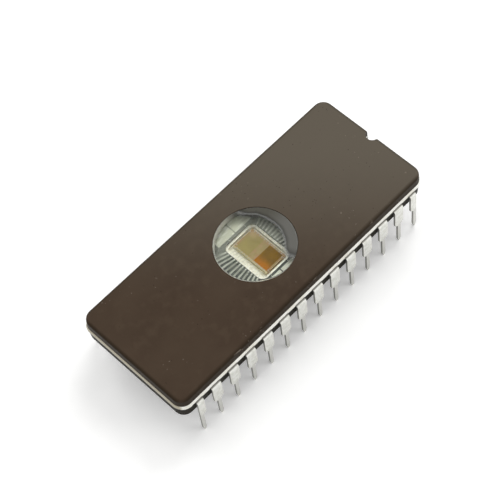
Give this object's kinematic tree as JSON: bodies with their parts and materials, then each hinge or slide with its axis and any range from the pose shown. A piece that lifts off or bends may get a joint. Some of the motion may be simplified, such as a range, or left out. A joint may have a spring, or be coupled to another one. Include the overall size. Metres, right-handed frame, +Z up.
{
  "type": "windowed memory chip",
  "caption": "Ceramic dual-in-line chip with a round glass window over its die and two rows of bent leads, standing on its lead tips.",
  "frame": {"origin": "centre of the package on the plane of the lead tips", "axes": "+X along the package towards the index notch, +Y across it towards the first lead's row, +Z up from the lead tips to the cap"},
  "size_m": [0.0372, 0.016, 0.008],
  "materials": {
    "cap_ceramic": "matt pressed ceramic, dark brown, with fine grain",
    "base_ceramic": "matt pressed ceramic, dark brown",
    "seal_glass": "glossy pale seal glass",
    "window_glass": "clear fused glass",
    "lead_metal": "tin-plated alloy, satin",
    "attach_paste": "pale silver-glass layer, satin",
    "silicon": "polished silicon under thin films, khaki and amber",
    "wire_metal": "drawn aluminium wire"
  },
  "bodies": {
    "root": {"base": "base_ceramic", "seal_glass": "seal_glass", "cap": "cap_ceramic", "window": "window_glass", "die_attach": "attach_paste", "die": "silicon", "lead_1": "lead_metal", "lead_2": "lead_metal", "lead_3": "lead_metal", "lead_4": "lead_metal", "lead_5": "lead_metal", "lead_6": "lead_metal", "lead_7": "lead_metal", "lead_8": "lead_metal", "lead_9": "lead_metal", "lead_10": "lead_metal", "lead_11": "lead_metal", "lead_12": "lead_metal", "lead_13": "lead_metal", "lead_14": "lead_metal", "lead_15": "lead_metal", "lead_16": "lead_metal", "lead_17": "lead_metal", "lead_18": "lead_metal", "lead_19": "lead_metal", "lead_20": "lead_metal", "lead_21": "lead_metal", "lead_22": "lead_metal", "lead_23": "lead_metal", "lead_24": "lead_metal", "lead_25": "lead_metal", "lead_26": "lead_metal", "lead_27": "lead_metal", "lead_28": "lead_metal", "bond_wires_1_to_7": "wire_metal", "bond_wires_8_to_14": "wire_metal", "bond_wires_15_to_21": "wire_metal", "bond_wires_22_to_28": "wire_metal"}
  },
  "joints": []
}
